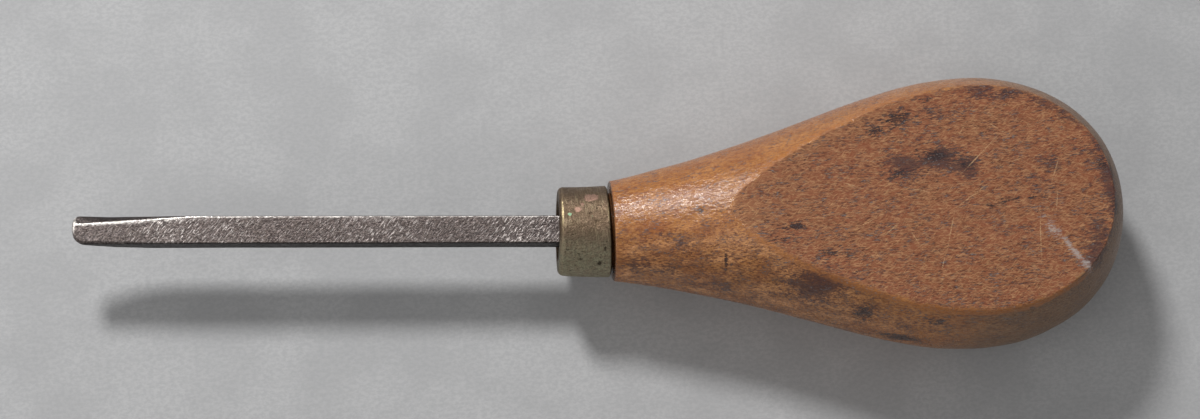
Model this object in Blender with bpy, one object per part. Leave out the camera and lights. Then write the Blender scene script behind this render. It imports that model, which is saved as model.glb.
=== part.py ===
"""A small screwdriver: a pear-shaped turned handle with two planed flats, a brass ferrule and a steel blade.

Frame: the origin lies on the lower flat, under the widest section of the bulb. +X runs along the
handle's own axis towards the butt, +Z is up, square to the flats. The blade points along -X and leans
a little towards +Y, because its hole was bored slightly off the handle's axis.
"""

import math

import bmesh
import bpy
from mathutils import Matrix, Vector
from mathutils.geometry import interpolate_bezier

# Handle
OVER_FLATS = 0.0268           # thickness between the two planed flats
BULB_DIAMETER = 0.0473        # at its widest section
NECK_LENGTH = 0.0629          # shoulder to the widest section
BUTT_LENGTH = 0.0264          # widest section to the butt
NECK_FLARE = 0.184            # rise of the neck's radius for each unit of length at the shoulder
SHOULDER_STEP = 0.0008        # how far the wood stands proud of the ferrule
SHOULDER_ROUND = 0.0004       # broken edge of the shoulder
NECK_PULL = 0.551             # how far the neck's tangent reaches, as a part of NECK_LENGTH
CROWN_PULL = 0.287            # the same on the neck side of the widest section
BACK_PULL = 0.403             # the same on its butt side, as a part of BUTT_LENGTH
BUTT_PULL = 0.757             # the same at the butt, as a part of the bulb's radius

# Ferrule
FERRULE_LENGTH = 0.0087
FERRULE_DIAMETER = 0.0158     # at its back edge
FERRULE_TAPER = 0.0004        # how much smaller it is at its front
FERRULE_WALL = 0.0009
FERRULE_CORNER = 0.0011       # outer radius where the lip turns in
FERRULE_MOUTH = 0.0106        # opening inside the lip

# Blade
BLADE_WIDTH = 0.0049
BLADE_THICKNESS = 0.0039
BLADE_SHOWING = 0.0828        # ferrule to nose
BLADE_CANT = math.radians(2.8)
BLADE_SEAT = 0.0040           # full section inside the ferrule and the wood
NOSE_FAR_RADIUS = 0.0014      # corner of the nose on the +Y side
NOSE_NEAR_RADIUS = 0.0022     # corner of the nose on the -Y side
EDGE_WEAR = 0.00025           # the long edges are broken by this much
TANG_LENGTH = 0.0360
TANG_STEP = 0.0006            # the tang is smaller than the blade by this on each side
TANG_END = 0.0016             # square end of the tang
UNDER_RUN = 0.0130            # two hand-ground facets under the nose: where each starts
UNDER_DEPTH = 0.0019          # and how deep it would be at the very tip
NOSE_RUN = 0.0097
NOSE_DEPTH = 0.0033
TOP_RUN = 0.0200              # facet along the far upper edge
TOP_DEPTH = 0.0010

# Clearances
SEAT_GAP = 0.0003             # between pieces that are driven together
SHOULDER_GAP = 0.0005         # open joint between the ferrule and the shoulder

TURNED_STEPS = 64             # facets around a turned piece
CURVE_STEPS = 16              # points along each curve of the handle
ROUND_STEPS = 4               # points along a small rounding
MERGE = 0.000001

# Places along the handle's axis, measured from the shoulder, with the blade on the negative side
MOUTH_X = -(SHOULDER_GAP + FERRULE_LENGTH)
NOSE_X = MOUTH_X - BLADE_SHOWING
TANG_X = MOUTH_X + BLADE_SEAT
SHOULDER_RADIUS = FERRULE_DIAMETER / 2 + SHOULDER_STEP
BULB_RADIUS = BULB_DIAMETER / 2


def clear_scene():
    for obj in list(bpy.data.objects):
        bpy.data.objects.remove(obj, do_unlink=True)


def material(name, color, roughness, metallic):
    """A Principled material of one colour."""
    mat = bpy.data.materials.new(name)
    mat.use_nodes = True
    shader = mat.node_tree.nodes["Principled BSDF"]
    shader.inputs["Base Color"].default_value = (*color, 1.0)
    shader.inputs["Roughness"].default_value = roughness
    shader.inputs["Metallic"].default_value = metallic
    return mat


def arc(center, radius, start, end, steps=ROUND_STEPS):
    """Points on an arc in the X-radius plane, angles in degrees from +X."""
    points = []
    for i in range(steps + 1):
        angle = math.radians(start + (end - start) * i / steps)
        points.append((center[0] + radius * math.cos(angle), center[1] + radius * math.sin(angle)))
    return points


def curve(start, start_pull, end_pull, end):
    """Points along one Bezier curve between two places of a turned profile."""
    ends = [Vector((x, r, 0)) for x, r in (start, start_pull, end_pull, end)]
    return [(p.x, p.y) for p in interpolate_bezier(*ends, CURVE_STEPS + 1)]


def turned(profile, closed):
    """Turns a profile of (x, radius) points round the X axis."""
    bm = bmesh.new()
    verts = [bm.verts.new((x, radius, 0)) for x, radius in profile]
    pairs = list(zip(verts, verts[1:]))
    if closed:
        pairs.append((verts[-1], verts[0]))
    edges = [bm.edges.new(pair) for pair in pairs]
    bmesh.ops.spin(bm, geom=verts + edges, cent=(0, 0, 0), axis=(1, 0, 0), angle=2 * math.pi,
                   steps=TURNED_STEPS, use_merge=True)
    bmesh.ops.remove_doubles(bm, verts=bm.verts, dist=MERGE)
    bmesh.ops.recalc_face_normals(bm, faces=bm.faces)
    return bm


def lean_seat(bm):
    """Turns each section in front of the shoulder by its share of the blade's lean.

    The ferrule's back edge stays square to the handle and its front edge comes square to the blade.
    """
    for vert in bm.verts:
        share = max(0.0, vert.co.x / MOUTH_X)
        vert.co = Matrix.Rotation(-BLADE_CANT * share, 3, "Z") @ vert.co


def add_object(name, bm, mat, smooth_angle=30):
    mesh = bpy.data.meshes.new(name)
    bm.to_mesh(mesh)
    bm.free()
    mesh.shade_smooth()
    mesh.set_sharp_from_angle(angle=math.radians(smooth_angle))
    if mat:
        mesh.materials.append(mat)
    obj = bpy.data.objects.new(name, mesh)
    bpy.context.scene.collection.objects.link(obj)
    return obj


def cut(obj, cutter):
    """Takes the cutter's shape out of the object and leaves the cutter as a guide."""
    cutter.hide_render = True
    cutter.display_type = "WIRE"
    boolean = obj.modifiers.new("cut " + cutter.name, "BOOLEAN")
    boolean.operation = "DIFFERENCE"
    boolean.solver = "EXACT"
    boolean.object = cutter


def handle_profile():
    """The spigot that fills the ferrule, the shoulder, the flared neck, the bulb and the butt."""
    spigot_x = MOUTH_X + FERRULE_WALL + SEAT_GAP
    spigot_radius = FERRULE_DIAMETER / 2 - FERRULE_WALL - SEAT_GAP
    spigot_front = spigot_radius - FERRULE_TAPER / 2
    neck_pull = NECK_PULL * NECK_LENGTH
    profile = [(spigot_x, 0.0), (spigot_x, spigot_front), (0.0, spigot_radius)]
    profile += arc((SHOULDER_ROUND, SHOULDER_RADIUS - SHOULDER_ROUND), SHOULDER_ROUND, 180, 90)
    profile += curve(
        (SHOULDER_ROUND, SHOULDER_RADIUS),
        (neck_pull, SHOULDER_RADIUS + NECK_FLARE * neck_pull),
        (NECK_LENGTH - CROWN_PULL * NECK_LENGTH, BULB_RADIUS),
        (NECK_LENGTH, BULB_RADIUS))[1:]
    profile += curve(
        (NECK_LENGTH, BULB_RADIUS),
        (NECK_LENGTH + BACK_PULL * BUTT_LENGTH, BULB_RADIUS),
        (NECK_LENGTH + BUTT_LENGTH, BUTT_PULL * BULB_RADIUS),
        (NECK_LENGTH + BUTT_LENGTH, 0.0))[1:]
    return profile


def slab_cutter(name, side):
    """A block whose inner face lies on one of the two flats."""
    bm = bmesh.new()
    length = NECK_LENGTH + BUTT_LENGTH
    size = (2 * length, 2 * BULB_DIAMETER, BULB_DIAMETER)
    bmesh.ops.create_cube(bm, size=1, matrix=Matrix.Diagonal((*size, 1)))
    place = Vector((length / 2, 0, side * (OVER_FLATS / 2 + BULB_DIAMETER / 2)))
    bmesh.ops.translate(bm, verts=bm.verts, vec=place)
    return add_object(name, bm, None)


def blade_bar(clearance):
    """The bar with its tang, straight along X, grown by a clearance where it is used as a cutter."""
    bm = bmesh.new()
    width = BLADE_WIDTH + 2 * clearance
    thickness = BLADE_THICKNESS + 2 * clearance
    bar_end = TANG_X + clearance
    size = (bar_end - NOSE_X, width, thickness)
    bmesh.ops.create_cube(bm, size=1, matrix=Matrix.Diagonal((*size, 1)))
    bmesh.ops.translate(bm, verts=bm.verts, vec=((bar_end + NOSE_X) / 2, 0, 0))
    back = next(face for face in bm.faces if face.normal.x > 0.5)
    bmesh.ops.inset_region(bm, faces=[back], thickness=TANG_STEP, use_even_offset=True)
    grown = bmesh.ops.extrude_face_region(bm, geom=[back])
    bmesh.ops.delete(bm, geom=[back], context="FACES_ONLY")
    half = TANG_END / 2 + clearance
    for item in grown["geom"]:
        if isinstance(item, bmesh.types.BMVert):
            item.co = (bar_end + TANG_LENGTH, math.copysign(half, item.co.y), math.copysign(half, item.co.z))
    return bm


def edges_where(bm, test):
    return [edge for edge in bm.edges if test(*(vert.co for vert in edge.verts))]


def round_nose(bm):
    """Rounds the two corners of the nose as seen from above."""
    def upright(side):
        return edges_where(bm, lambda a, b: max(a.x, b.x) < NOSE_X + MERGE
                           and abs(a.y - b.y) < MERGE and a.y * side > 0)
    for side, radius in ((1, NOSE_FAR_RADIUS), (-1, NOSE_NEAR_RADIUS)):
        bmesh.ops.bevel(bm, geom=upright(side), offset=radius, offset_type="OFFSET",
                        segments=ROUND_STEPS + 2, profile=0.5, affect="EDGES")


def break_long_edges(bm):
    """Bevels the four long edges of the bar by their wear."""
    long_edges = edges_where(bm, lambda a, b: abs(a.y - b.y) < MERGE and abs(a.z - b.z) < MERGE
                             and abs(a.x - b.x) > BLADE_SHOWING / 2)
    bmesh.ops.bevel(bm, geom=long_edges, offset=EDGE_WEAR, offset_type="OFFSET", segments=2,
                    profile=0.5, affect="EDGES")


def grind(bm, edge, normal, run, depth):
    """Cuts a flat facet that starts a run behind the nose and is a depth deep at the very tip.

    edge is a point (y, z) of the surface that is ground, and normal its outward direction.
    """
    start = Vector((NOSE_X + run, *edge))
    out = Vector((0, *normal)).normalized()
    tilted = (out * run + Vector((-1, 0, 0)) * depth).normalized()
    geom = bm.verts[:] + bm.edges[:] + bm.faces[:]
    cutting = bmesh.ops.bisect_plane(bm, geom=geom, dist=MERGE, plane_co=start, plane_no=tilted,
                                     clear_outer=True)
    rim = [item for item in cutting["geom_cut"] if isinstance(item, bmesh.types.BMEdge)]
    bmesh.ops.edgenet_fill(bm, edges=rim)


def make_blade(steel):
    """The bar from the nose to the tang, worn along its edges and ground at the nose."""
    bm = blade_bar(0.0)
    round_nose(bm)
    break_long_edges(bm)
    half_width = BLADE_WIDTH / 2
    half_thickness = BLADE_THICKNESS / 2
    grind(bm, (0, -half_thickness), (0, -1), UNDER_RUN, UNDER_DEPTH)
    grind(bm, (0, -half_thickness), (0, -1), NOSE_RUN, NOSE_DEPTH)
    corner = EDGE_WEAR / 2
    grind(bm, (half_width - corner, half_thickness - corner), (1, 1), TOP_RUN, TOP_DEPTH)
    bmesh.ops.recalc_face_normals(bm, faces=bm.faces)
    return add_object("blade", bm, steel)


def make_ferrule(brass):
    """A slightly tapered tube whose front edge is turned in to a round lip."""
    back_radius = FERRULE_DIAMETER / 2
    front_radius = back_radius - FERRULE_TAPER / 2
    corner = (MOUTH_X + FERRULE_CORNER, front_radius - FERRULE_CORNER)
    inner_front = (MOUTH_X + FERRULE_WALL, front_radius - FERRULE_WALL)
    back_x = -SHOULDER_GAP
    back_break = FERRULE_WALL / 4
    profile = [(back_x, back_radius - FERRULE_WALL), (back_x, back_radius - back_break),
               (back_x - back_break, back_radius)]
    profile += arc(corner, FERRULE_CORNER, 90, 180, ROUND_STEPS + 2)
    profile += [(MOUTH_X, FERRULE_MOUTH / 2), (MOUTH_X + FERRULE_WALL, FERRULE_MOUTH / 2), inner_front]
    bm = turned(profile, closed=True)
    lean_seat(bm)
    return add_object("ferrule", bm, brass)


def make_handle(wood):
    """The turned handle with its two planed flats and the tapered hole for the tang."""
    bm = turned(handle_profile(), closed=False)
    lean_seat(bm)
    handle = add_object("handle", bm, wood)
    upper = slab_cutter("upper_slab", 1)
    lower = slab_cutter("lower_slab", -1)
    bore = add_object("bore", blade_bar(SEAT_GAP), None)
    bore.rotation_euler.z = -BLADE_CANT
    for cutter in (upper, lower, bore):
        cut(handle, cutter)
    return handle, [upper, lower, bore]


def main():
    clear_scene()
    wood = material("varnished_wood", (0.33, 0.15, 0.055), 0.45, 0.0)
    brass = material("old_brass", (0.36, 0.29, 0.17), 0.40, 1.0)
    steel = material("worn_steel", (0.32, 0.30, 0.29), 0.40, 1.0)

    shoulder = bpy.data.objects.new("shoulder", None)
    shoulder.location = (-NECK_LENGTH, 0, OVER_FLATS / 2)
    bpy.context.scene.collection.objects.link(shoulder)

    handle, cutters = make_handle(wood)
    ferrule = make_ferrule(brass)
    blade = make_blade(steel)
    blade.rotation_euler.z = -BLADE_CANT
    for obj in (handle, ferrule, blade, *cutters):
        obj.parent = shoulder


main()
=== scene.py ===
import math

import bpy
import numpy as np
from mathutils import Matrix, Vector


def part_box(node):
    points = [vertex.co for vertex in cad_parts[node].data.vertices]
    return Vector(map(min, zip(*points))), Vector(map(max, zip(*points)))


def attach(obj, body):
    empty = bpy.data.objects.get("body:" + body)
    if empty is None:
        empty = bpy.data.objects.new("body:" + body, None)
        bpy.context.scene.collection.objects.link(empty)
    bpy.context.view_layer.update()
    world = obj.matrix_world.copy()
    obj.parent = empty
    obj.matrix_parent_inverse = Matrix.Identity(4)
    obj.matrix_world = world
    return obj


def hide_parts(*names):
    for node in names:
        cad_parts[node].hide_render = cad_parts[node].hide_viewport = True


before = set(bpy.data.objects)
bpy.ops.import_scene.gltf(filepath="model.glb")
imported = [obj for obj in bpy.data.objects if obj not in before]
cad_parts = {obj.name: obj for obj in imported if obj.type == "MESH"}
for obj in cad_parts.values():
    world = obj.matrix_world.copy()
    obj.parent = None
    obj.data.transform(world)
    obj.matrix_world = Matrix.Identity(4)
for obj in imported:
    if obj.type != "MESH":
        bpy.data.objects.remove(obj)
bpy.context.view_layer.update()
mm = 0.001


# ---- camera

shot = {
    "aim": (-0.067, 0.0, 0.0133),   # a little in front of the shoulder, on the handle's axis
    "elevation": 77.6,              # nearly over the upper flat, from the near side
    "turn": -4.36,                  # leans towards the blade
    "roll": 2.81,                   # brings the blade almost level
    "distance": 0.478,
    "slide": (0.00225, 0.00398),    # right and up
    "lens": 83.0,
}


def placeCamera(shot):
    # the camera's back, right and up directions, turned by elevation, sideways lean and roll
    tilt = math.radians(90 - shot["elevation"])
    turn = math.radians(shot["turn"])
    roll = math.radians(shot["roll"])
    back = Vector((math.sin(turn), -math.sin(tilt) * math.cos(turn), math.cos(tilt) * math.cos(turn)))
    level = (Vector((1, 0, 0)) - back * back.x).normalized()
    right = level * math.cos(roll) - back.cross(level) * math.sin(roll)
    up = back.cross(right)
    lens = bpy.data.cameras.new("camera")
    lens.lens = shot["lens"]
    lens.sensor_width = 36
    lens.clip_start = 0.01
    camera = bpy.data.objects.new("camera", lens)
    place = Vector(shot["aim"]) + back * shot["distance"] + right * shot["slide"][0] + up * shot["slide"][1]
    camera.matrix_world = Matrix.Translation(place) @ Matrix((right, up, back)).transposed().to_4x4()
    bpy.context.collection.objects.link(camera)
    bpy.context.scene.camera = camera


placeCamera(shot)
print("camera placed")


# ---- helpers for materials

def hexColor(code):
    # sRGB hex to linear RGBA
    parts = [int(code[i:i + 2], 16) / 255 for i in (1, 3, 5)]
    return tuple(p / 12.92 if p <= 0.04045 else ((p + 0.055) / 1.055) ** 2.4 for p in parts) + (1.0,)


def add(tree, kind, links=None, output=0, **settings):
    # adds one node: settings are its own properties, links its inputs, each a value or a node's output
    node = tree.nodes.new(kind)
    for name, value in settings.items():
        setattr(node, name, value)
    for name, value in (links or {}).items():
        if isinstance(value, bpy.types.NodeSocket):
            tree.links.new(value, node.inputs[name])
        else:
            node.inputs[name].default_value = value
    return node.outputs[output] if node.outputs else node


def startMaterial(name, patterns, painted):
    # an empty material with its patterns and the attributes painted on its piece, all as masks.
    # A pattern is noise whose lumps have a real length, width and slant, cut off between two levels:
    # (length mm, width mm, slant in degrees, detail, roughness, low, high)
    mat = bpy.data.materials.new(name)
    mat.use_nodes = True
    tree = mat.node_tree
    tree.nodes.clear()
    where = add(tree, "ShaderNodeTexCoord", output="Object")
    masks = {}
    for i, (key, (length, width, slant, detail, rough, low, high)) in enumerate(patterns.items()):
        spot = add(tree, "ShaderNodeMapping",
                   {"Vector": where, "Location": (0.013 * i, 0.007 * i, 0.003 * i),
                    "Rotation": (0, 0, math.radians(slant)), "Scale": (length * mm, width * mm, width * mm)},
                   vector_type="TEXTURE")
        value = add(tree, "ShaderNodeTexNoise",
                    {"Vector": spot, "Scale": 1.0, "Detail": detail, "Roughness": rough})
        masks[key] = cutOff(tree, low, high, 1.0, value)
    for key in painted:
        masks[key] = add(tree, "ShaderNodeAttribute", output="Fac", attribute_name=key)
    return mat, tree, masks


def calc(tree, operation, *values):
    # adds, multiplies or compares several values in turn
    result = values[0]
    for value in values[1:]:
        result = add(tree, "ShaderNodeMath", {0: result, 1: value}, operation=operation)
    return result


def times(tree, *values):
    return calc(tree, "MULTIPLY", *values)


def cutOff(tree, low, high, strength, *parts):
    # what a few masks come to together, cut off softly between two levels
    return add(tree, "ShaderNodeMapRange",
               {"Value": calc(tree, "ADD", *parts), "From Min": low, "From Max": high, "To Max": strength},
               interpolation_type="SMOOTHSTEP")


def paintLayers(tree, base, layers):
    # lays tints over a base colour, each where its mask says
    for mask, tint in layers:
        base = add(tree, "ShaderNodeMix", {0: mask, 6: base, 7: tint}, 2, data_type="RGBA")
    return base


def blend(tree, mask, low, high):
    return add(tree, "ShaderNodeMix", {0: mask, 2: low, 3: high}, data_type="FLOAT")


def finishMaterial(tree, links):
    shader = add(tree, "ShaderNodeBsdfPrincipled", links)
    add(tree, "ShaderNodeOutputMaterial", {"Surface": shader})


# ---- helpers for meshes

def waves(points, length, seed, count=14):
    # smooth unevenness from about -1 to 1: sine waves of about one length, in directions drawn from a seed
    draw = np.random.default_rng(seed)
    way = draw.normal(size=(count, 3))
    way /= np.linalg.norm(way, axis=1)[:, None]
    pitch = 2 * np.pi / (length * draw.uniform(0.6, 1.8, count))
    start = draw.uniform(0, 2 * np.pi, count)
    return np.sin(points @ (way * pitch[:, None]).T + start).sum(1) / math.sqrt(count * 2)


def makeMesh(name, points, faces, material, sharp=None):
    mesh = bpy.data.meshes.new(name)
    mesh.from_pydata(points.tolist(), [], faces)
    mesh.shade_smooth()
    if sharp:
        mesh.set_sharp_from_angle(angle=math.radians(sharp))
    mesh.materials.append(material)
    obj = bpy.data.objects.new(name, mesh)
    bpy.context.collection.objects.link(obj)
    return obj


def ringFaces(ringCount, around, closed):
    # quads between each ring and the next; a closed tube's last ring joins its first
    ring = np.arange(ringCount if closed else ringCount - 1)[:, None] * around
    nextRing = (ring + around) % (ringCount * around)
    here = np.arange(around)[None, :]
    after = (here + 1) % around
    quads = np.stack([ring + here, ring + after, nextRing + after, nextRing + here], -1)
    return quads.reshape(-1, 4).tolist()


def poleFaces(ringCount, around):
    # fans that close both ends of an open tube on a point of their own
    here = np.arange(around)
    after = (here + 1) % around
    last = (ringCount - 1) * around
    front = np.stack([after, here, np.full(around, ringCount * around)], -1)
    back = np.stack([last + here, last + after, np.full(around, ringCount * around + 1)], -1)
    return front.tolist() + back.tolist()


def paint(obj, masks):
    # one number for each point of the mesh under each name, for the material to read
    for name, values in masks.items():
        attribute = obj.data.attributes.new(name, "FLOAT", "POINT")
        attribute.data.foreach_set("value", np.asarray(values, np.float32))


def spotMask(points, marks):
    # soft oval spots: each fades with the square of the distance, measured in its own reaches
    total = np.zeros(len(points))
    for place, reach, angle, strength in marks:
        away = points / mm - np.array(place)
        turn = math.radians(angle)
        along = away[:, 0] * math.cos(turn) + away[:, 1] * math.sin(turn)
        across = away[:, 1] * math.cos(turn) - away[:, 0] * math.sin(turn)
        far = (along / reach[0]) ** 2 + (across / reach[1]) ** 2 + (away[:, 2] / reach[2]) ** 2
        total = np.maximum(total, strength * np.exp(-far))
    return total


def bezier(ends, t):
    # a cubic curve through its first and last point, drawn towards the two between
    a, b, c, d = (np.array(p, float) for p in ends)
    t = t[:, None]
    return (1 - t) ** 3 * a + 3 * (1 - t) ** 2 * t * b + 3 * (1 - t) * t ** 2 * c + t ** 3 * d


def smoothStep(low, high, x):
    t = np.clip((x - low) / (high - low), 0, 1)
    return t * t * (3 - 2 * t)


def bump(x, middle, reach):
    # 1 at the middle, fading away on both sides
    return np.exp(-((x - middle) / reach) ** 2)


# ---- places shared by the pieces, from the CAD boxes

handleLow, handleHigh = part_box("handle")
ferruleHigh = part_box("ferrule")[1]
cant = math.radians(2.8)               # the blade's lean from the handle's axis
shoulderGap = 0.5 * mm                 # open joint behind the ferrule
shoulderX = ferruleHigh.x + shoulderGap
axisZ = (handleLow.z + handleHigh.z) / 2
halfFlats = (handleHigh.z - handleLow.z) / 2
bulbRadius = (handleHigh.y - handleLow.y) / 2
mouthX = -9.2 * mm                     # front of the ferrule, from the shoulder


def lean(points, share):
    # turns points about the shoulder's centre by a share of the blade's lean
    angle = -cant * share
    x, y, z = points[..., 0], points[..., 1], points[..., 2]
    return np.stack([x * np.cos(angle) - y * np.sin(angle), x * np.sin(angle) + y * np.cos(angle), z], -1)


def toFrame(points):
    # from the shoulder's centre to the part's own frame
    return points + np.array([shoulderX, 0, axisZ])


# ---- handle

handleShape = {
    "shoulderRadius": 8.7 * mm,
    "shoulderRound": 0.4 * mm,
    "flare": 0.184,
    "neckPull": 0.551,
    "crownPull": 0.287,
    "backPull": 0.403,
    "buttPull": 0.757,
    "spigotRadius": 6.7 * mm,
    "spigotFront": -8.0 * mm,
    # the tang's hole from its end to its mouth: place, half its width and half its height
    "hole": [(31.1 * mm, 1.1 * mm, 1.1 * mm), (-4.9 * mm, 2.15 * mm, 1.65 * mm),
             (-4.9 * mm, 2.75 * mm, 2.25 * mm), (-8.0 * mm, 2.75 * mm, 2.25 * mm)],
    "quarter": (34, 12, 26),        # points on half a flat, on its worn edge and down the side
    "stations": (170, 84),          # sections of the neck and of the butt
    "edgeFar": (0.6 * mm, 0.35),    # radius of the worn edge on the far side, and how uneven it is
    "edgeNear": (1.5 * mm, 0.25),   # the same on the near side, rubbed by the hand
    "edgeButt": 0.45 * mm,
    "buttStarts": (6 * mm, 16 * mm),
    "edgeWave": 6 * mm,
    "mergeReach": 4 * mm,           # how far ahead of the flats the sections start to gather
    "rollOff": 0.21 * mm,           # the flats fall away where they run out on the neck
    "rollReach": 5 * mm,
    "rollMost": 1.8,
    "waviness": 0.045 * mm,
    "waveLength": 8 * mm,
    "waveDepth": (0.02 * mm, 1.5 * mm),     # below the flats, where the unevenness comes in
    "waveStart": (0.3 * mm, 1.5 * mm),      # and behind the shoulder
    # dents: place in mm in the part's frame, reach and depth in mm
    "dents": [((-48.2, 0.2, 25.1), 0.55, 0.14), ((-44.2, -7.9, 23.4), 0.5, 0.06),
              ((-56.0, 3.4, 22.7), 1.4, 0.06), ((-51.5, 2.6, 23.9), 1.1, 0.05),
              ((14.8, -10.2, 26.8), 1.4, 0.06), ((4.4, -1.0, 26.8), 1.2, 0.05)],
}

# Marks on the wood: place in mm in the part's frame, reach along, across and up, turn, strength
woodMarks = {
    "stain": [
        ((-14.0, 14.2, 26.8), (3.0, 1.2, 2), 20, 1.15),
        ((-17.6, 12.4, 26.8), (1.6, 0.9, 2), 10, 0.9),
        ((0.8, -1.9, 26.8), (1.3, 0.6, 2), 12, 0.95),
        ((4.4, -0.7, 26.8), (2.6, 0.9, 2), 12, 0.8),
        ((8.3, -0.5, 26.8), (2.0, 0.5, 2), -4, 0.85),
        ((21.2, 4.6, 26.8), (1.3, 0.8, 2), 0, 0.95),
        ((22.3, -2.3, 26.8), (0.7, 1.4, 2), 20, 1.0),
        ((-32.8, -3.6, 26.7), (2.4, 0.8, 2), 8, 1.0),
        ((-35.4, -5.4, 26.4), (2.4, 0.8, 2), 8, 0.7),
        ((-27.5, -8.4, 26.6), (1.6, 0.9, 2), 0, 0.75),
        ((-24.2, -8.8, 26.8), (1.2, 0.8, 2), 0, 0.6),
        ((-9.0, 17.2, 26.8), (1.6, 0.5, 2), 8, 0.9),
        ((6.1, 18.0, 26.8), (2.6, 0.5, 2), -6, 0.95),
        ((14.4, 14.1, 26.8), (1.2, 0.6, 2), -40, 0.85),
        ((-21.7, -18.0, 21.2), (2.0, 1.9, 3.0), 6, 1.15),
        ((-9.5, -20.3, 23.4), (2.8, 1.0, 1.4), 0, 0.75),
        ((-15.0, -21.7, 15.4), (5.0, 1.6, 2.2), 0, 1.15),
        ((-48.4, 0.2, 25.0), (0.5, 0.9, 0.8), 0, 0.8),
        ((-44.4, -8.1, 23.3), (0.26, 2.0, 1.7), 0, 1.5),
        ((-43.6, -7.9, 23.5), (0.16, 1.2, 1.2), 0, 0.75),
        ((2.0, -21.6, 22.0), (0.9, 0.6, 0.8), 0, 0.7),
        ((9.5, -19.4, 22.0), (1.0, 0.6, 0.8), 0, 0.7),
        ((-38.2, 9.6, 22.5), (1.2, 0.5, 0.8), 0, 0.5),
        ((-14.6, 4.8, 26.8), (2.0, 0.9, 2), 14, 0.8),
        ((-8.0, 7.6, 26.8), (3.4, 1.2, 2), -4, 0.95),
        ((-2.6, 5.6, 26.8), (2.0, 1.1, 2), -20, 0.8),
    ],
    "bruise": [         # broad purple-brown dirt that the grain still shows through
        ((-30.2, -13.6, 23.9), (6.4, 3.0, 4.4), 4, 1.4),
        ((-33.6, -12.4, 23.6), (2.4, 1.2, 2), 4, 0.7),
        ((-12.8, 6.1, 26.8), (4.6, 2.5, 2), 8, 1.25),
        ((-7.6, 7.0, 26.8), (4.6, 2.2, 2), 2, 1.4),
        ((-2.8, 5.2, 26.8), (3.4, 2.2, 2), -14, 1.3),
        ((-8.0, 14.9, 26.8), (3.4, 2.0, 2), 14, 0.75),
        ((9.0, 2.4, 26.8), (3.0, 1.5, 2), 0, 0.75),
        ((-14.5, 14.0, 26.8), (4.6, 2.2, 2), 16, 0.7),
        ((19.4, -8.0, 26.8), (3.0, 4.2, 2), 20, 1.0),
        ((20.0, 6.8, 26.8), (3.4, 2.6, 2), 0, 0.7),
        ((21.8, 1.0, 26.8), (1.8, 8.0, 2), 4, 1.25),
        ((18.2, -11.0, 26.8), (2.6, 4.4, 2), -40, 1.15),
        ((12.0, 5.2, 26.8), (2.2, 1.6, 2), 0, 0.85),
        ((-36.5, 12.2, 26.6), (3.0, 1.6, 2), 30, 0.6),
        ((-54.7, -3.3, 23.0), (1.6, 1.0, 1.4), 0, 0.8),
        ((-51.7, -5.1, 23.2), (1.3, 1.0, 1.4), 0, 0.9),
        ((-59.4, -7.4, 19.2), (2.6, 1.4, 2.2), 0, 0.85),
        ((-54.0, -8.6, 19.5), (3.6, 1.2, 2.0), 0, 0.7),
        ((-47.0, -11.6, 17.8), (6.0, 1.2, 2.4), 0, 0.75),
        ((-34.0, -4.6, 26.6), (3.6, 1.6, 2), 6, 0.6),
        ((-12.0, -20.6, 20.5), (9.0, 1.6, 2.4), 0, 0.7),
        ((3.0, 17.6, 26.8), (7.0, 1.0, 2), -4, 0.8),
    ],
    "rusty": [
        ((-55.8, -1.8, 23.4), (2.2, 1.2, 1.6), 0, 0.8),
        ((-48.0, -3.0, 24.4), (2.6, 1.4, 1.6), 0, 0.55),
        ((-5.0, -12.0, 26.8), (12.0, 5.0, 3), -6, 0.45),
        ((6.0, 1.0, 26.8), (9.0, 5.0, 3), 0, 0.35),
    ],
    "tan": [
        ((-40.6, -0.8, 26.2), (5.0, 4.4, 3), 0, 0.75),
        ((-36.0, 4.0, 26.8), (5.0, 3.0, 3), 20, 0.4),
        ((-29.0, 10.6, 26.8), (6.5, 1.7, 3), 26, 0.9),
        ((-20.0, 14.4, 26.8), (6.5, 1.5, 3), 18, 0.6),
        ((-29.0, -0.5, 26.8), (5.5, 2.0, 3), 0, 0.35),
    ],
    "silver": [
        ((11.2, -6.0, 26.8), (2.4, 1.0, 2), -52, 0.8),
        ((14.2, -9.8, 26.8), (4.4, 0.5, 2), -54, 1.1),
        ((16.3, -12.8, 26.8), (1.6, 0.8, 2), -50, 0.85),
    ],
}
# where the wood is worn or soiled, and where light and highlight are painted on it, in mm: across the flat's
# edge, or along x and y in the part's frame
woodWear = {
    "flatDepth": 1.2,               # how far below a flat still counts as its edge
    "bareAcross": (-1.3, 1.1),      # the flats' varnish wears away over this much of their edge
    "bareAlong": (-52, -38),
    "rimWidth": 2.2,                # dirt along the far edge of the flat
    "rimAlong": (-6, 14),
    "rimAcross": (-12, 0),
    "ridge": (-0.5, 0.8),           # the edge itself, with a painted highlight along it in the varnish's orange
    "ridgeAlong": (-46, -38),
    "ridgeEnds": (-2, 12),
    "butt": (-4, 24),               # greyer towards the butt, and further forward on the near side
    "nearSide": (0, -10),
    "nearShift": 8,
    "nearLightAcross": (1.5, -7),     # the near side of the neck: painted light, drawn lighter as if lit from that side; dark handling grime lies in the same band
    "nearLightAlong": (-8, -26),
    "nearLightFront": (-63, -61),
    "joint": (-62.6, -62.9),        # the joint at the shoulder, drawn darker
}
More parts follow.
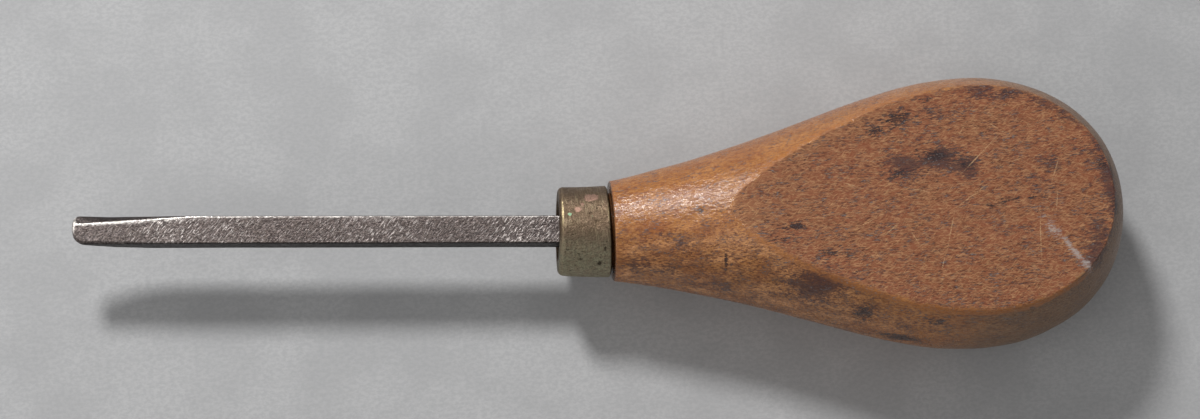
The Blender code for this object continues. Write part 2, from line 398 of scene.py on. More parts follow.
# long scratches across the upper flat: middle, half length and half width in mm, direction in degrees
longScratches = [
    ((-0.2, 7.3), 5.2, 0.13, 43), ((-1.9, 0.4), 4.0, 0.11, 34), ((-6.4, -5.9), 4.2, 0.1, 74),
    ((-8.2, -11.4), 2.2, 0.1, 72), ((9.0, -6.6), 5.2, 0.12, 86), ((-20.6, -3.6), 1.6, 0.12, 24),
    ((-16.4, -4.9), 2.0, 0.12, 38), ((-12.6, -6.4), 1.3, 0.12, -62), ((-22.4, 3.0), 2.4, 0.09, -20),
    ((3.2, 11.9), 2.6, 0.1, -35), ((12.6, 4.0), 2.6, 0.1, 68), ((-2.6, 12.2), 1.8, 0.1, 58),
    ((6.4, 6.2), 3.0, 0.08, 15), ((-10.8, 1.6), 2.0, 0.09, -12), ((12.4, -1.2), 2.2, 0.09, 80),
]


def handleOutline(s):
    # radius along the axis: a broken shoulder edge, a curve up to the bulb and another round the butt
    neck = -shoulderX
    butt = handleHigh.x
    turnIn = np.linspace(np.pi, np.pi / 2, 7)
    edge = np.stack([s["shoulderRound"] * (1 + np.cos(turnIn)),
                     s["shoulderRadius"] - s["shoulderRound"] * (1 - np.sin(turnIn))], 1)
    pull = s["neckPull"] * neck
    rise = bezier([(s["shoulderRound"], s["shoulderRadius"]),
                   (pull, s["shoulderRadius"] + s["flare"] * pull),
                   (neck * (1 - s["crownPull"]), bulbRadius), (neck, bulbRadius)],
                  np.linspace(0, 1, s["stations"][0]))[1:]
    fall = bezier([(neck, bulbRadius), (neck + s["backPull"] * butt, bulbRadius),
                   (neck + butt, s["buttPull"] * bulbRadius), (neck + butt, 0)],
                  np.linspace(0, 1, s["stations"][1]) ** 0.9)[1:-1]
    return np.concatenate([edge, rise, fall])


def flatHeight(x, outline, s):
    # the flats lie level, but fall away along a parabola where they run out on the neck
    start = outline[np.argmax(outline[:, 1] > halfFlats), 0]
    fall = np.clip((start + s["rollReach"] - x) / s["rollReach"], 0, s["rollMost"])
    return halfFlats - s["rollOff"] * fall ** 2


def sectionQuarter(radius, flat, edge, ahead, counts):
    # a quarter of a circle cut by a flat, with a round of its own where they meet: half the flat, the
    # round and the rest of the circle, from the top (y = 0) to the side (z = 0), for every station;
    # where there is no flat, the same points spread out round the plain circle
    onFlat, onEdge, onSide = counts
    mostEdge = 0.45         # the largest round, as a share of the section
    spread = 0.42           # share of the quarter that the flat's points take up well ahead of it
    cutting = (radius > flat)[:, None]
    edge = np.minimum(edge, mostEdge * np.minimum(flat, radius))
    reach = np.sqrt(np.maximum((radius - edge) ** 2 - (flat - edge) ** 2, 0))
    bend = np.where(cutting[:, 0], np.arctan2(flat - edge, reach), np.pi / 2 * (1 - spread * ahead))
    radius, flat, edge, reach, bend = (v[:, None] for v in (radius, flat, edge, reach, bend))
    along = reach * np.linspace(0, 1, onFlat)[None, :]
    angle = np.pi / 2 + (bend - np.pi / 2) * np.linspace(0, 1, onEdge + 1)[None, 1:]
    cutY = np.concatenate([along, reach + edge * np.cos(angle)], 1)
    cutZ = np.concatenate([flat + 0 * along, flat - edge + edge * np.sin(angle)], 1)
    angle = np.pi / 2 + (bend - np.pi / 2) * np.linspace(0, 1, onFlat + onEdge)[None, :]
    y = np.where(cutting, cutY, radius * np.cos(angle))
    z = np.where(cutting, cutZ, radius * np.sin(angle))
    angle = bend * (1 - np.linspace(0, 1, onSide + 1)[None, 1:])
    return (np.concatenate([y, radius * np.cos(angle)], 1),
            np.concatenate([z, radius * np.sin(angle)], 1))


def handleRings(s):
    outline = handleOutline(s)
    x, radius = outline[:, 0], outline[:, 1]
    place = x + shoulderX                       # station in the part's frame
    flat = flatHeight(x, outline, s)
    ahead = np.clip((flat - radius) / s["mergeReach"], 0.05, 1)
    towardsButt = smoothStep(*s["buttStarts"], place)
    uneven = waves(np.stack([place, 0 * place, 0 * place], 1), s["edgeWave"], 12)
    quarters = []
    for worn, change in (s["edgeFar"], s["edgeNear"]):
        edge = worn * (1 + change * uneven) * (1 - towardsButt) + s["edgeButt"] * towardsButt
        quarters.append(sectionQuarter(radius, flat, edge, ahead, s["quarter"]))
    # round from the top over the far side, back underneath and up the near side
    (yFar, zFar), (yNear, zNear) = quarters
    y = np.concatenate([yFar, yFar[:, -2::-1], -yNear[:, 1:], -yNear[:, -2:0:-1]], 1)
    z = np.concatenate([zFar, -zFar[:, -2::-1], -zNear[:, 1:], zNear[:, -2:0:-1]], 1)
    return np.stack([np.broadcast_to(x[:, None], y.shape), y, z], -1)


def handleFront(s, around):
    # the tang's hole, the end of the spigot, its side and the shoulder's face, ring by ring
    towards = np.arctan2(around[:, 2], around[:, 1])
    unit = np.stack([np.cos(towards), np.sin(towards)], 1)
    front, spigot = s["spigotFront"], s["spigotRadius"]
    edge = 0.2 * mm
    face = s["shoulderRadius"] - s["shoulderRound"] - edge
    sections = [(x, np.minimum(halfY / np.maximum(np.abs(unit[:, 0]), 1e-6),
                               halfZ / np.maximum(np.abs(unit[:, 1]), 1e-6)), 1.0)
                for x, halfY, halfZ in s["hole"]]
    turned = [(front, (spigot + sections[-1][1]) / 2), (front, spigot - edge), (front + edge / 2, spigot),
              (-edge / 4, spigot), (0.0, spigot + edge / 2), (0.0, face)]
    sections += [(x, radius, abs(x / mouthX)) for x, radius in turned]
    rings = []
    for x, radius, share in sections:
        ring = np.empty((len(unit), 3))
        ring[:, 0] = x
        ring[:, 1:] = unit * np.broadcast_to(radius, len(unit))[:, None]
        rings.append(lean(ring, share))
    return np.array(rings)


def makeHandle(s, material):
    body = handleRings(s)
    front = handleFront(s, body[0])
    ringCount, around = len(front) + len(body), body.shape[1]
    # turning and years of handling leave the sides slightly uneven, while the flats stay true
    points = body.reshape(-1, 3)
    outwards = points * np.array([0, 1, 1])
    outwards /= np.maximum(np.linalg.norm(outwards, axis=1, keepdims=True), 1e-9)
    onSide = smoothStep(*s["waveDepth"], halfFlats - np.abs(points[:, 2]))
    onSide *= smoothStep(*s["waveStart"], points[:, 0])
    push = (waves(points, s["waveLength"], 3) - 1) * s["waviness"] * onSide
    for place, reach, depth in s["dents"]:
        away = np.linalg.norm(toFrame(points) / mm - np.array(place), axis=1) / reach
        push -= depth * mm * np.exp(-away ** 2)
    body = (points + outwards * push[:, None]).reshape(body.shape)
    placed = toFrame(np.concatenate([front, body])[:, ::-1].reshape(-1, 3))
    poles = np.stack([placed[:around].mean(0), placed[-around:].mean(0)])
    placed = np.concatenate([placed, poles])
    faces = ringFaces(ringCount, around, False) + poleFaces(ringCount, around)
    obj = makeMesh("handle_wood", placed, faces, material)
    paint(obj, handleMasks(placed, s))
    return obj


def handleMasks(points, s):
    x, y, z = (points / mm).T
    w = woodWear
    outline = handleOutline(s)
    radius = np.interp(points[:, 0] - shoulderX, outline[:, 0], outline[:, 1]) / mm
    height = np.abs(z - axisZ / mm)
    # how far inside the edge of the flat a point lies, in mm; less than nothing on the sides
    flat = flatHeight(points[:, 0] - shoulderX, outline, s) / mm
    reach = np.sqrt(np.maximum(radius ** 2 - flat ** 2, 0))
    inside = np.where(height > flat - w["flatDepth"], reach - np.abs(y), -3)
    uneven = waves(points, 4 * mm, 21) * 0.5 + waves(points, 1.6 * mm, 22) * 0.3
    bare = smoothStep(*w["bareAcross"], inside + 0.9 * uneven) * smoothStep(*w["bareAlong"], x + 4 * uneven)
    rim = bump(np.maximum(inside, 0), 0, w["rimWidth"]) * bare
    rim *= smoothStep(*w["rimAlong"], x + 0.6 * y) * smoothStep(*w["rimAcross"], y)
    # a painted highlight along the worn edges of the flats
    ridge = bump(inside, *w["ridge"]) * smoothStep(*w["ridgeAlong"], x)
    ridge *= 1 - 0.75 * smoothStep(*w["ridgeEnds"], x + 0.8 * y)
    nearSide = smoothStep(*w["nearSide"], y)
    butt = smoothStep(*w["butt"], x + 0.25 * np.abs(y) + w["nearShift"] * nearSide) * (1 - bare)
    # the near side of the neck, where light is painted on and dark handling grime is laid
    nearLightAndGrime = smoothStep(*w["nearLightAcross"], y) * smoothStep(*w["nearLightAlong"], x) * (1 - bare)
    nearLightAndGrime *= smoothStep(*w["nearLightFront"], x)
    masks = {"bare": bare, "rim": rim, "ridge": ridge, "butt": butt, "nearLightAndGrime": nearLightAndGrime,
             "joint": smoothStep(*w["joint"], x)}
    masks.update({name: spotMask(points, marks) for name, marks in woodMarks.items()})
    return masks


# Grain of the turned sides and of the planed flats, with the sizes of beech rays, pores and torn fibres;
# the finest are drawn 0.2 mm wide, coarser than real fibres, so that they show
woodPatterns = {
    "streak": (15, 2.2, 2, 3, 0.55, 0.34, 0.66),
    "cloud": (9, 5, 10, 3, 0.6, 0.42, 0.66),
    "fleck": (1.5, 0.36, 3, 3, 0.65, 0.53, 0.63),
    "pore": (0.8, 0.24, -4, 3, 0.7, 0.5, 0.64),
    "speckle": (0.4, 0.28, 0, 3, 0.75, 0.36, 0.64),
    "lump": (1.1, 0.7, 0, 2, 0.5, 0.3, 0.7),
    "grain": (1.3, 0.26, 5, 3, 0.7, 0.46, 0.62),
    "paleGrain": (1.1, 0.22, -4, 3, 0.65, 0.5, 0.64),
    "fibreA": (1.6, 0.2, 28, 1, 0.5, 0.58, 0.68),
    "fibreB": (1.4, 0.2, 52, 1, 0.5, 0.6, 0.7),
    "fibreC": (1.4, 0.2, -30, 1, 0.5, 0.6, 0.7),
    "mottle": (3.4, 2.0, 12, 4, 0.65, 0.4, 0.62),
    "patch": (7, 4, 0, 3, 0.6, 0.42, 0.62),
}


def makeWood():
    # close-grained hardwood such as beech, turned and varnished: short dark flecks lie along the grain
    # under a warm gloss; the planed flats have lost their varnish and show dull, scratched, furry fibres
    painted = ("bare", "rim", "ridge", "butt", "nearLightAndGrime", "joint", *woodMarks)
    mat, tree, m = startMaterial("varnished_turned_beech", woodPatterns, painted)
    grit = calc(tree, "ADD", times(tree, m["speckle"], 0.35), times(tree, m["grain"], 0.45),
                times(tree, m["mottle"], 0.35))

    varnished = paintLayers(tree, hexColor("#b57942"), [
        # painted light: the near side of the neck drawn lighter, standing in for light from that side
        (times(tree, m["nearLightAndGrime"], 0.85), hexColor("#e6a670")),
        (times(tree, m["streak"], 0.8), hexColor("#9d642f")),
        (times(tree, m["cloud"], 0.5), hexColor("#874826")),
        (times(tree, m["speckle"], 0.45), hexColor("#c89058")),
        (times(tree, m["fleck"], 0.5), hexColor("#7a3410")),
        (times(tree, m["grain"], 0.4), hexColor("#6a2e14")),
        (times(tree, m["pore"], 0.5), hexColor("#74320e")),
        (times(tree, m["rusty"], 0.7), hexColor("#86401d")),
        (cutOff(tree, 1.0, 2.0, 0.35, m["nearLightAndGrime"], m["mottle"], m["fleck"]), hexColor("#59382a")),
        (times(tree, m["pore"], m["nearLightAndGrime"], 0.6), hexColor("#3b231a")),
        (cutOff(tree, 0.2, 1.1, 0.66, m["butt"], times(tree, m["mottle"], 0.2)), hexColor("#574739")),
        (times(tree, m["pore"], m["butt"], 0.7), hexColor("#2e211a")),
        (times(tree, m["paleGrain"], m["butt"], 0.6), hexColor("#a58a6c")),
        (times(tree, m["speckle"], m["butt"], 0.45), hexColor("#8a6e54")),
    ])
    fibre = calc(tree, "MAXIMUM", m["fibreA"], m["fibreB"], m["fibreC"])
    bare = paintLayers(tree, hexColor("#884a2e"), [
        (times(tree, m["streak"], 0.5), hexColor("#97573a")),
        (times(tree, m["mottle"], 0.45), hexColor("#703a29")),
        (times(tree, m["patch"], 0.5), hexColor("#94603e")),
        (times(tree, m["rusty"], 0.6), hexColor("#8a4a25")),
        (times(tree, m["tan"], 0.8), hexColor("#9a6b48")),
        (times(tree, m["speckle"], 0.6), hexColor("#a06846")),
        (times(tree, m["grain"], cutOff(tree, -0.2, 1.0, 0.95, m["mottle"], times(tree, m["patch"], 0.6))),
         hexColor("#4e2010")),
        (times(tree, m["paleGrain"], 0.7), hexColor("#bd8a62")),
        (times(tree, fibre, 0.5), hexColor("#c8986a")),
    ])
    onFlat = cutOff(tree, 0.45, 0.95, 1.0, m["bare"], times(tree, m["grain"], 0.25),
                    times(tree, m["speckle"], 0.15))

    # each long scratch is an oval as wide as itself, read from its own turned and stretched coordinates
    where = add(tree, "ShaderNodeTexCoord", output="Object")
    lines = []
    for (x, y), half, wide, angle in longScratches:
        own = add(tree, "ShaderNodeMapping",
                  {"Vector": where, "Location": (x * mm, y * mm, handleHigh.z),
                   "Rotation": (0, 0, math.radians(angle)), "Scale": (half * mm, wide * mm, 1 * mm)},
                  vector_type="TEXTURE")
        away = add(tree, "ShaderNodeVectorMath", {0: own}, "Value", operation="LENGTH")
        lines.append(add(tree, "ShaderNodeMapRange", {"Value": away, "From Min": 1.1, "From Max": 0.4}))
    scratch = times(tree, calc(tree, "MAXIMUM", *lines),
                    cutOff(tree, 0.1, 0.9, 0.75, m["speckle"], times(tree, m["mottle"], 0.4)))

    color = paintLayers(tree, varnished, [
        (onFlat, bare),
        (cutOff(tree, 0.7, 1.25, 0.72, times(tree, m["bruise"], 0.8), grit), hexColor("#3e282c")),
        (cutOff(tree, 0.7, 1.2, 0.9, times(tree, m["stain"], 0.75), grit), hexColor("#281b1f")),
        (cutOff(tree, 0.8, 1.5, 0.75, m["rim"], grit), hexColor("#44282a")),
        # painted highlight along the flats' worn edges, where varnish remains
        (cutOff(tree, 0.6, 1.4, 0.55, m["ridge"], times(tree, m["mottle"], 0.6)), hexColor("#b26f35")),
        (scratch, hexColor("#cda67a")),
        (cutOff(tree, 0.75, 1.5, 0.8, m["silver"], grit), hexColor("#b8aaa4")),
        (times(tree, m["joint"], 0.8), hexColor("#2a1a12")),
    ])

    # hand-rubbed varnish, duller towards the butt; the flats are matt
    gloss = add(tree, "ShaderNodeMapRange", {"Value": m["mottle"], "To Min": 0.15, "To Max": 0.24})
    gloss = calc(tree, "ADD", gloss, times(tree, m["fleck"], 0.2), times(tree, m["pore"], 0.12))
    worn = add(tree, "ShaderNodeMapRange", {"Value": grit, "To Min": 0.85, "To Max": 0.7})
    roughness = blend(tree, onFlat, blend(tree, times(tree, m["butt"], 0.55), gloss, 0.5), worn)

    # orange peel with the open grain sunk into it; on the flats the fibres stand up
    peel = calc(tree, "ADD", times(tree, m["lump"], 0.8), times(tree, m["speckle"], 0.3))
    fur = calc(tree, "ADD", times(tree, fibre, 0.9), times(tree, m["paleGrain"], 1.1),
               times(tree, m["grain"], -1.4), times(tree, m["speckle"], 1.0), times(tree, scratch, -1.2))
    normal = add(tree, "ShaderNodeBump",
                 {"Strength": 0.5, "Distance": 0.00011, "Height": blend(tree, onFlat, peel, fur)})
    finishMaterial(tree, {"Base Color": color, "Roughness": roughness, "IOR": 1.5, "Normal": normal})
    return mat


handle = makeHandle(handleShape, makeWood())
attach(handle, "root")
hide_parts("handle")
print("handle made:", len(handle.data.polygons), "faces")


# ---- ferrule

ferruleShape = {
    "length": 8.7 * mm,
    "backRadius": 7.9 * mm,
    "frontRadius": 7.7 * mm,
    "wall": 0.9 * mm,
    "corner": 0.9 * mm,            # round of the lip
    "backCorner": 0.35 * mm,
    "mouth": 5.3 * mm,             # radius of the opening inside the lip
    "around": 256,
    "dents": 0.03 * mm,
    "dentLength": 4 * mm,
    "innerCorner": 0.15 * mm,
    # the polished rims, which also carry a painted highlight: their places from the front and from the back
    # and their widths, in mm
    "frontRim": (0.55, 0.22),
    "backRim": (0.2, 0.16),
    "brightest": (14, 16),         # where their painted highlight is brightest: degrees from the top, and reach
}
# Marks on the ferrule: mm from its front and degrees from the top towards the far side, reaches, strength
brassMarks = {
    "copper": [((3.1, 17.5), (0.75, 6), 1.2), ((4.0, 26), (0.5, 4), 1.0), ((5.7, 36), (1.6, 8), 1.3),
               ((2.0, -150), (0.8, 8), 0.9), ((6.2, 130), (0.9, 7), 1.0), ((4.8, -100), (0.6, 5), 0.8)],
    # the first green spot is a painted glint on a small burr, tinted green by the verdigris round it; the
    # others are verdigris
    "green": [((1.75, 10.5), (0.42, 3.2), 1.2), ((5.6, 8), (0.3, 2), 0.7), ((3.6, -120), (0.6, 6), 0.9)],
    "black": [((6.6, -55), (0.5, 6), 1.0), ((3.6, -48), (0.4, 4), 0.8), ((7.6, -34), (0.3, 10), 0.8),
              ((2.5, -12), (1.2, 3), 0.55), ((1.6, 65), (0.8, 8), 0.6), ((5.0, -170), (1.0, 9), 0.9)],
}


def makeFerrule(s, material):
    # a turned outline carried round the axis: round the back edge, along the outside, round the lip and
    # back along the inside; each section then leans with the blade
    back = -shoulderGap
    front = back - s["length"]
    turn = np.linspace(0, np.pi / 2, 9)
    backEdge = np.stack([back - s["backCorner"] * (1 - np.cos(turn)),
                         s["backRadius"] - s["backCorner"] * (1 - np.sin(turn))], 1)
    lip = np.stack([front + s["corner"] * (1 - np.sin(turn)),
                    s["frontRadius"] - s["corner"] * (1 - np.cos(turn))], 1)
    side = backEdge[-1] + np.linspace(0, 1, 34)[1:-1, None] * (lip[0] - backEdge[-1])
    edge = s["innerCorner"]
    inner = np.array([(front, s["mouth"] + edge), (front + edge / 2, s["mouth"]),
                      (front + s["wall"], s["mouth"]), (front + s["wall"], s["frontRadius"] - s["wall"]),
                      (back, s["backRadius"] - s["wall"])])
    outline = np.concatenate([backEdge, side, lip, inner])[::-1]
    angle = np.linspace(0, 2 * np.pi, s["around"], endpoint=False)
    x, radius = outline[:, :1], outline[:, 1:]
    rings = np.stack([x + 0 * angle, radius * np.cos(angle), radius * np.sin(angle)], -1)
    dent = (waves(rings.reshape(-1, 3), s["dentLength"], 8).reshape(rings.shape[:2]) - 1) * s["dents"]
    outer = radius > s["frontRadius"] - s["corner"] / 2
    rings[..., 1:] *= 1 + (dent * outer / s["backRadius"])[..., None]
    placed = toFrame(lean(rings, np.abs(rings[..., 0] / mouthX))).reshape(-1, 3)
    obj = makeMesh("ferrule_tube", placed, ringFaces(len(outline), s["around"], True), material, 50)
    paint(obj, ferruleMasks(rings.reshape(-1, 3), front, s))
    return obj


def ferruleMasks(points, front, s):
    along = (points[:, 0] - front) / mm
    towards = np.degrees(np.arctan2(points[:, 1], points[:, 2]))
    outside = np.hypot(points[:, 1], points[:, 2]) > s["frontRadius"] - s["corner"]
    length = s["length"] / mm
    # the painted highlight on the rims is strongest where they face the light
    lit = 0.45 + 0.55 * bump(towards, *s["brightest"])
    rims = bump(along, *s["frontRim"]) + bump(length - along, *s["backRim"])
    masks = {"polishedAndLit": rims * outside * lit,
             # both ends of the tube drawn darker, the back end most
             "darkEnds": smoothStep(length - 0.16, length, along) + smoothStep(0.05, 0, along) * 0.6,
             # under: the near side of the tube, where light from that side is painted on over olive tarnish
             "under": smoothStep(-5, -50, towards) * (towards > -120)}
    for name, marks in brassMarks.items():
        masks[name] = np.zeros(len(points))
        for place, reach, strength in marks:
            apart = (towards - place[1] + 180) % 360 - 180
            far = ((along - place[0]) / reach[0]) ** 2 + (apart / reach[1]) ** 2
            masks[name] = np.maximum(masks[name], strength * np.exp(-far))
    return masks


brassPatterns = {
    "cloud": (3.2, 2.2, 0, 4, 0.6, 0.36, 0.64),
    "mottle": (1.1, 0.8, 20, 4, 0.65, 0.4, 0.62),
    "speckle": (0.34, 0.26, 0, 3, 0.7, 0.36, 0.64),
    "rub": (0.22, 2.4, 4, 2, 0.5, 0.5, 0.66),          # fine turning and wiping marks round the tube
    "pit": (0.7, 0.4, -20, 3, 0.6, 0.6, 0.68),
}


def makeBrass():
    # drawn brass tube, long tarnished: a matt brown and olive film, copper-coloured where it has flaked,
    # a few green and black spots, one green one a painted glint, both rims polished by handling and given a
    # painted highlight, and the near side painted lighter as light from that side
    painted = ("polishedAndLit", "darkEnds", "under", *brassMarks)
    mat, tree, m = startMaterial("tarnished_drawn_brass", brassPatterns, painted)
    # polished rims with a painted highlight on them
    polishAndGlint = cutOff(tree, 0.5, 1.1, 0.9, m["polishedAndLit"], times(tree, m["speckle"], 0.3))
    color = paintLayers(tree, hexColor("#7b6754"), [
        (times(tree, m["cloud"], 0.7), hexColor("#6d5c4a")),
        # painted light on the near side, over olive tarnish
        (times(tree, m["under"], 0.9), hexColor("#b6b296")),
        (times(tree, m["mottle"], 0.5), hexColor("#937c69")),
        (times(tree, m["speckle"], 0.5), hexColor("#5a4c3d")),
        (times(tree, m["rub"], 0.35), hexColor("#a8997c")),
        (times(tree, m["pit"], 0.7), hexColor("#362c22")),
        (cutOff(tree, 0.6, 1.0, 0.8, m["copper"], times(tree, m["mottle"], 0.3)), hexColor("#b08d7c")),
        (cutOff(tree, 0.7, 1.0, 0.85, m["green"], times(tree, m["speckle"], 0.3)), hexColor("#9fc4a0")),
        (cutOff(tree, 0.65, 1.2, 0.8, m["black"], times(tree, m["mottle"], 0.4)), hexColor("#2c261f")),
        (polishAndGlint, hexColor("#d8c598")),
        (m["darkEnds"], hexColor("#2b241c")),
    ])
    film = cutOff(tree, 0.2, 1.4, 0.14, m["cloud"], times(tree, m["speckle"], 0.6))
    roughness = calc(tree, "ADD", film, times(tree, polishAndGlint, -0.24), 0.46)
    relief = calc(tree, "ADD", m["mottle"], times(tree, m["speckle"], 0.8), times(tree, m["rub"], 0.5),
                  times(tree, m["pit"], -1.0))
    normal = add(tree, "ShaderNodeBump", {"Strength": 0.4, "Distance": 0.00007, "Height": relief})
    finishMaterial(tree, {"Base Color": color, "Metallic": 1.0, "Roughness": roughness, "Normal": normal})
    return mat


ferrule = makeFerrule(ferruleShape, makeBrass())
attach(ferrule, "root")
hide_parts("ferrule")
print("ferrule made:", len(ferrule.data.polygons), "faces")


# ---- blade

bladeShape = {
    "halfWidth": 2.45 * mm,
    "halfThick": 1.95 * mm,
    "nose": -92.0 * mm,            # from the shoulder
    "barEnd": -5.2 * mm,           # where the full section ends inside the wood
    "tang": 36 * mm,
    "tangStep": 0.6 * mm,
    "tangEnd": 0.8 * mm,
    "farRound": 1.4 * mm,
    "nearRound": 2.2 * mm,
    "noseRound": 0.35 * mm,
    "wear": 0.27 * mm,
    "underRun": 13 * mm,
    "underDepth": 1.9 * mm,
    "noseRun": 9.7 * mm,
    "noseDepth": 3.3 * mm,
    "curved": 2.4 * mm,            # length of the sides' arcs, with closer stations
    "facetRun": 20 * mm,
    "facetDepth": 1.0 * mm,
    "facetWidth": 1.35,            # width of the ground corner against its depth
    "bevelFrom": 0.4 * mm,         # depth at which its round has become a bevel
    "corner": 10,                  # points round a corner
    "stations": 280,
    "waviness": 0.02 * mm,
    # filed patches: mm from the nose, reach, strength
    "scraped": [(16, 5, 1.0), (78, 6, 0.8), (27, 3, 0.5), (52, 8, 0.35)],
}


def bladeRings(s):
    # a rectangle with worn corners carried along the bar; near the nose its sides draw in along two arcs,
    # its underside rises in two ground facets and its far upper corner is ground away
    curved = s["curved"]
    noseSteps = np.sin(np.linspace(0, np.pi / 2, 14)) ** 2 * curved
    barLength = s["barEnd"] - s["nose"]
    back = np.concatenate([noseSteps, np.linspace(curved, barLength, s["stations"])[1:]])

    def drawIn(radius):
        return radius - np.sqrt(np.maximum(radius ** 2 - np.maximum(radius - back, 0) ** 2, 0))

    far = s["halfWidth"] - drawIn(s["farRound"])
    near = -s["halfWidth"] + drawIn(s["nearRound"])
    under = np.maximum(s["underDepth"] * (1 - back / s["underRun"]),
                       s["noseDepth"] * (1 - back / s["noseRun"]))
    low = -s["halfThick"] + np.maximum(under, 0)
    high = np.full_like(back, s["halfThick"])
    # the very end closes along a quarter circle
    shrink = np.sqrt(np.clip(1 - (1 - np.minimum(back / s["noseRound"], 1)) ** 2, 0.0004, 1))
    centreY, centreZ = (far + near) / 2, (high + low) / 2
    halfY, halfZ = (far - near) / 2 * np.maximum(shrink, 0.6), (high - low) / 2 * shrink
    # the tang behind the bar: a step, then a long taper to its square end
    back = np.concatenate([back, barLength + np.array([0.0, 0.3 * mm, s["tang"]])])
    centreY, centreZ = (np.concatenate([c, np.zeros(3)]) for c in (centreY, centreZ))
    halfY, halfZ = (np.concatenate([half, [full - s["tangStep"]] * 2, [s["tangEnd"]]])
                    for half, full in ((halfY, s["halfWidth"]), (halfZ, s["halfThick"])))
    facet = np.maximum(s["facetDepth"] * (1 - back / s["facetRun"]), 0)
    turn = np.linspace(0, np.pi / 2, s["corner"])
    corners = []
    for signY, signZ, ground in ((1, 1, 1.0), (-1, 1, 0.25), (-1, -1, 0.0), (1, -1, 0.0)):
        size = np.minimum(s["wear"] + ground * facet * s["facetWidth"], 0.9 * halfY)
        sizeZ = np.minimum(size, 0.9 * halfZ)
        # the more a corner is ground, the flatter its round, up to a plain bevel with rounded ends
        power = (2 / (2 - 0.75 * np.clip(ground * facet / s["bevelFrom"], 0, 1)))[:, None]
        outY, outZ = np.cos(turn) ** power, np.sin(turn) ** power
        if signY * signZ < 0:
            outY, outZ = outY[:, ::-1], outZ[:, ::-1]
        y = centreY[:, None] + signY * (halfY[:, None] - size[:, None] * (1 - outY))
        z = centreZ[:, None] + signZ * (halfZ[:, None] - sizeZ[:, None] * (1 - outZ))
        corners.append(np.stack([y, z], -1))
    across = np.array([0.02, 0.26, 0.5, 0.74, 0.98])[None, :, None]
    ring = []
    for corner, after in zip(corners, corners[1:] + corners[:1]):
        start, end = corner[:, -1:], after[:, :1]
        ring += [corner, start + (end - start) * across]
    ring = np.concatenate(ring, 1)
    x = np.broadcast_to((back + s["nose"])[:, None, None], ring.shape[:2] + (1,))
    return np.concatenate([x, ring], -1)


def makeBlade(s, material):
    rings = bladeRings(s)
    ringCount, around = rings.shape[:2]
    points = rings.reshape(-1, 3)
    onlyX = points * [1, 0, 0]
    hammered = np.stack([0 * points[:, 0], waves(onlyX, 14 * mm, 5) - 1, waves(onlyX, 11 * mm, 6) - 1], 1)
    points = points + np.sign(points) * hammered * s["waviness"]
    points = np.concatenate([points, [points[:around].mean(0), points[-around:].mean(0)]])
    faces = ringFaces(ringCount, around, False) + poleFaces(ringCount, around)
    obj = makeMesh("blade_bar", toFrame(lean(points, 1.0)), faces, material, 50)
    paint(obj, bladeMasks(points / mm, s))
    return obj


def bladeMasks(points, s):
    back = points[:, 0] - s["nose"] / mm
    y, z = points[:, 1], points[:, 2]
    halfWidth, halfThick = s["halfWidth"] / mm, s["halfThick"] / mm
    onTop = z > halfThick - 0.5
    # where the top face ends and the ground corner begins
    ground = np.maximum(s["facetDepth"] / mm * (1 - back / (s["facetRun"] / mm)), 0) * s["facetWidth"]
    ridgeY = halfWidth - s["wear"] / mm - ground
    # a painted highlight line along the worn ridge of the ground corner, where the steel is also polished
    ridge = bump(y, ridgeY + 0.02, 0.15) * onTop
    noseEdge = bump(back, 0, 0.7) * smoothStep(-2.2, 0.2, y)
    nearEdge = bump(y, -halfWidth + 0.12, 0.2) * onTop * smoothStep(60, 6, back)
    scraped = sum(strength * bump(back, place, reach) for place, reach, strength in s["scraped"])
    # bright: painted highlight on the ridge, at the nose and faintly along the near edge, over polished
    # steel
    return {"bright": ridge * (0.7 + 0.45 * smoothStep(40, 14, back)) + noseEdge * 0.9 + nearEdge * 0.35,
            "tip": smoothStep(22, 2, back), "scraped": scraped * (z > 0),
            # painted shade on the underside, the near face and the ground bevel
            "shadedFaces": smoothStep(-halfThick + 1.2, -halfThick, z) + (y < -halfWidth + 0.12) * 0.95
            + smoothStep(ridgeY + 0.14, ridgeY + 0.28, y) * 0.75}


steelPatterns = {
    "cloud": (6, 2.4, 0, 4, 0.6, 0.36, 0.64),
    "mottle": (1.0, 0.6, 20, 4, 0.7, 0.38, 0.62),
    "grit": (0.34, 0.25, 0, 3, 0.8, 0.42, 0.58),
    "glint": (0.8, 0.2, 44, 3, 0.7, 0.55, 0.65),
    "stroke": (1.2, 0.22, 50, 2, 0.55, 0.55, 0.66),     # file and stone marks, drawn 0.22 mm wide
    "cross": (0.9, 0.17, -40, 2, 0.55, 0.58, 0.68),
    "draw": (3.0, 0.2, 0, 2, 0.5, 0.55, 0.68),
}


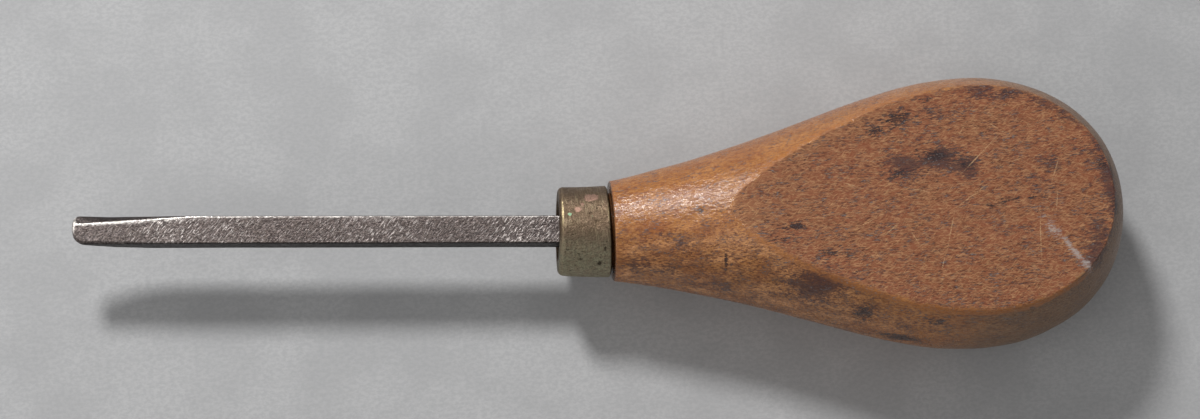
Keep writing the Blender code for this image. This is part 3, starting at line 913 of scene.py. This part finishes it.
def makeSteel():
    # forged and filed tool steel: a dark, mottled skin with fine slanting file marks, polished along
    # the ground corner and at the nose, where a painted highlight lies; the faces turned from the light
    # carry painted shade
    painted = ("bright", "tip", "scraped", "shadedFaces")
    mat, tree, m = startMaterial("aged_filed_tool_steel", steelPatterns, painted)
    # painted highlight where the steel is polished
    polishAndGlint = cutOff(tree, 0.5, 1.15, 0.85, m["bright"], times(tree, m["mottle"], 0.35))
    strokes = times(tree, m["stroke"], cutOff(tree, 0.0, 0.9, 1.0, m["scraped"], 0.2))
    lines = calc(tree, "MAXIMUM", strokes, times(tree, m["cross"], m["scraped"], 0.35))
    color = paintLayers(tree, hexColor("#685d5a"), [
        (times(tree, m["cloud"], 0.5), hexColor("#5b5250")),
        (times(tree, m["tip"], 0.4), hexColor("#867c79")),
        (times(tree, m["scraped"], 0.3), hexColor("#8c837f")),
        (times(tree, m["mottle"], 0.5), hexColor("#71665f")),
        (times(tree, m["grit"], 0.9), hexColor("#3c3635")),
        (times(tree, m["draw"], 0.25), hexColor("#8c827f")),
        (times(tree, m["glint"], 0.6), hexColor("#a29894")),
        (lines, hexColor("#cdc4bf")),
        # painted shade on the faces turned from the light
        (times(tree, m["shadedFaces"], 0.85), hexColor("#222020")),
        # painted highlight on the polished ridge and nose
        (polishAndGlint, hexColor("#e6e0da")),
    ])
    rough = add(tree, "ShaderNodeMapRange", {"Value": m["mottle"], "To Min": 0.4, "To Max": 0.52})
    roughness = calc(tree, "ADD", rough, times(tree, polishAndGlint, -0.2))
    relief = calc(tree, "ADD", m["mottle"], times(tree, m["grit"], -0.6), times(tree, lines, 0.8))
    normal = add(tree, "ShaderNodeBump", {"Strength": 0.4, "Distance": 0.00008, "Height": relief})
    finishMaterial(tree, {"Base Color": color, "Metallic": 1.0, "Roughness": roughness, "Normal": normal})
    return mat


blade = makeBlade(bladeShape, makeSteel())
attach(blade, "root")
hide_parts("blade")
print("blade made:", len(blade.data.polygons), "faces")


# ---- floor and light

studio = {
    "world": (0.25, 0.31),         # brightness low on the near side and high on the far side
    "brightSide": (-0.45, 0.57, 0.69),
    "worldRange": (-0.6, 0.9),     # how far round the change from low to high goes
    "key": {"aim": (-0.1, 0, 0), "direction": (-0.22, 0.61, 0.76), "distance": 0.7, "size": 0.13,
            "power": 3.7},
    "fill": {"aim": (-0.07, 0, 0), "direction": (-0.66, -0.34, 0.62), "distance": 1.0, "size": 0.8,
             "power": 1.9},
    "floorReach": 3.0,
    "floorDrop": 0.05 * mm,
}
boardPatterns = {
    "tooth": (0.9, 0.6, 0, 3, 0.75, 0.36, 0.64),
    "cloud": (14, 12, 15, 3, 0.6, 0.36, 0.64),
}


def makeFloor(s):
    # matt painted board: an even pale grey with a faint tooth
    mat, tree, m = startMaterial("pale_matt_board", boardPatterns, ())
    color = paintLayers(tree, hexColor("#aeaeaf"), [(times(tree, m["tooth"], 0.8), hexColor("#bcbcbc")),
                                                    (times(tree, m["cloud"], 0.4), hexColor("#a3a3a4"))])
    finishMaterial(tree, {"Base Color": color, "Roughness": 0.85})
    reach, drop = s["floorReach"], -s["floorDrop"]
    corners = np.array([(-reach, -reach, drop), (reach, -reach, drop), (reach, reach, drop),
                        (-reach, reach, drop)])
    makeMesh("floor", corners, [(0, 1, 2, 3)], mat)


def addLight(name, s):
    lamp = bpy.data.lights.new(name, "AREA")
    lamp.shape = "DISK"
    lamp.size = s["size"]
    lamp.energy = s["power"]
    light = bpy.data.objects.new(name, lamp)
    direction = Vector(s["direction"]).normalized()
    light.location = Vector(s["aim"]) + direction * s["distance"]
    light.rotation_euler = direction.to_track_quat("Z", "Y").to_euler()
    bpy.context.collection.objects.link(light)


def makeWorld(s):
    # soft surroundings, brighter on the far side and overhead than low on the near side
    world = bpy.data.worlds.new("studio")
    world.use_nodes = True
    tree = world.node_tree
    towards = add(tree, "ShaderNodeTexCoord", output="Generated")
    side = add(tree, "ShaderNodeVectorMath", {0: towards, 1: s["brightSide"]}, "Value",
               operation="DOT_PRODUCT")
    low, high = s["world"]
    first, last = s["worldRange"]
    strength = add(tree, "ShaderNodeMapRange", {"Value": side, "From Min": first, "From Max": last,
                                                "To Min": low, "To Max": high})
    background = tree.nodes["Background"]
    background.inputs["Color"].default_value = (1, 1, 1, 1)
    tree.links.new(strength, background.inputs["Strength"])
    bpy.context.scene.world = world
    bpy.context.scene.view_settings.view_transform = "Standard"


makeFloor(studio)
addLight("key", studio["key"])
addLight("fill", studio["fill"])
makeWorld(studio)
print("floor and lights made")
